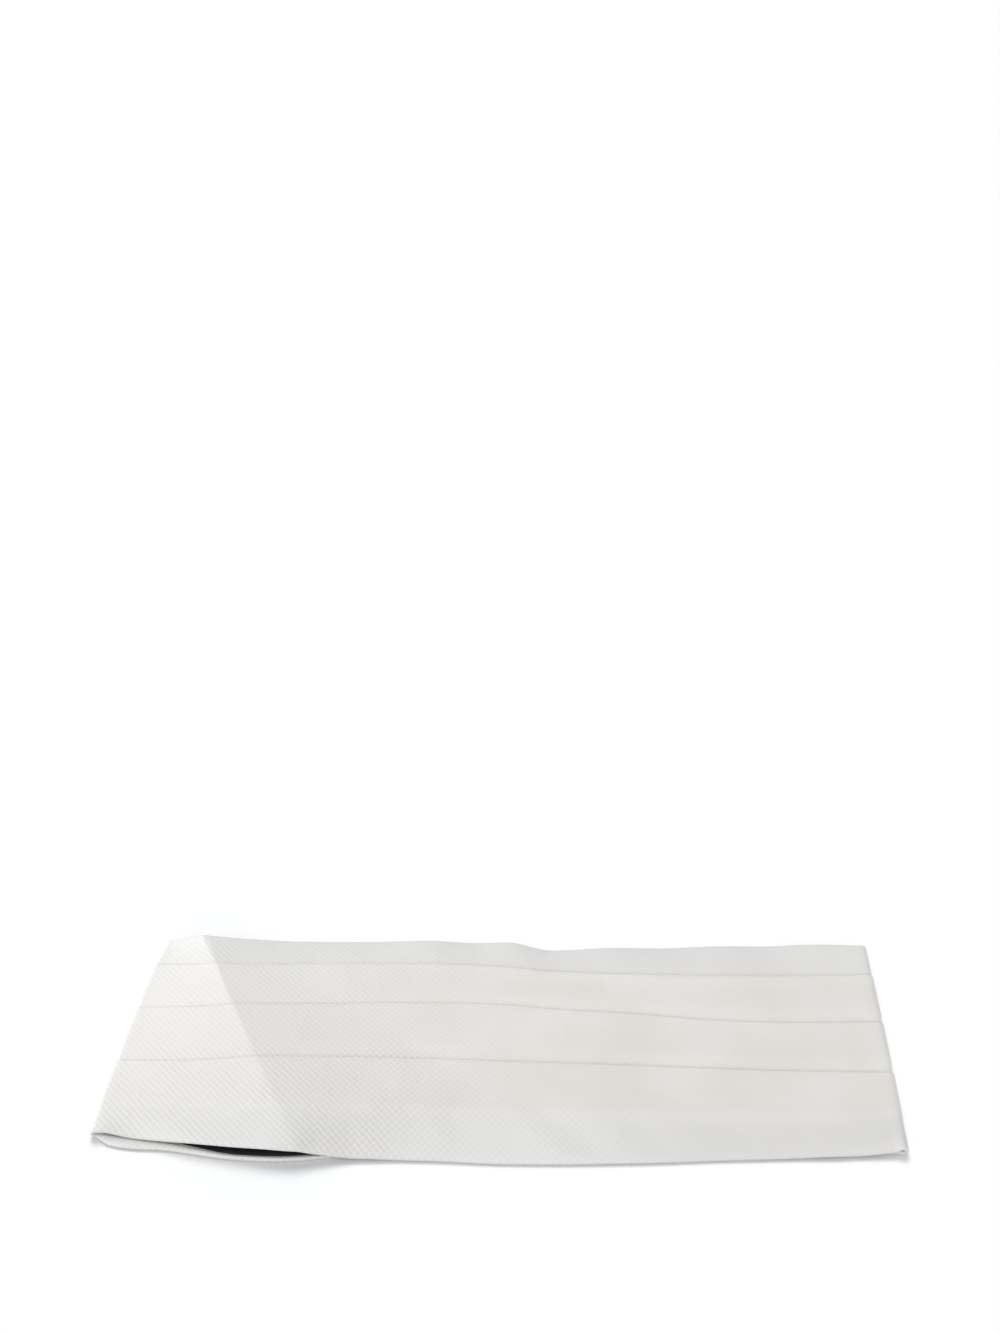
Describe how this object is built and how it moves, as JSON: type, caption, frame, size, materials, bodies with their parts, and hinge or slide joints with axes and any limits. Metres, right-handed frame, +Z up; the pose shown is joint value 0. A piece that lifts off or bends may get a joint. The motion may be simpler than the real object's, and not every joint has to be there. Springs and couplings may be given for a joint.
{
  "type": "cummerbund",
  "caption": "Pleated silk cummerbund closed as a waist loop and lying folded flat, with a lining, a plain back strap and a clasp.",
  "frame": {"origin": "middle of the footprint, on the surface that the folded loop lies on", "axes": "+X along the folded length, to the right in the picture; +Y towards the edge worn uppermost, away from the viewer; +Z up"},
  "size_m": [0.428, 0.149, 0.0125],
  "materials": {
    "silk_twill": "soft sheen, fine diagonal rib",
    "lining_cloth": "smooth satin",
    "strap_web": "matt woven elastic",
    "clasp_metal": "satin black enamel"
  },
  "bodies": {
    "root": {"pleated_panel": "silk_twill", "lining": "lining_cloth", "waist_strap": "strap_web", "clasp": "clasp_metal"}
  },
  "joints": []
}
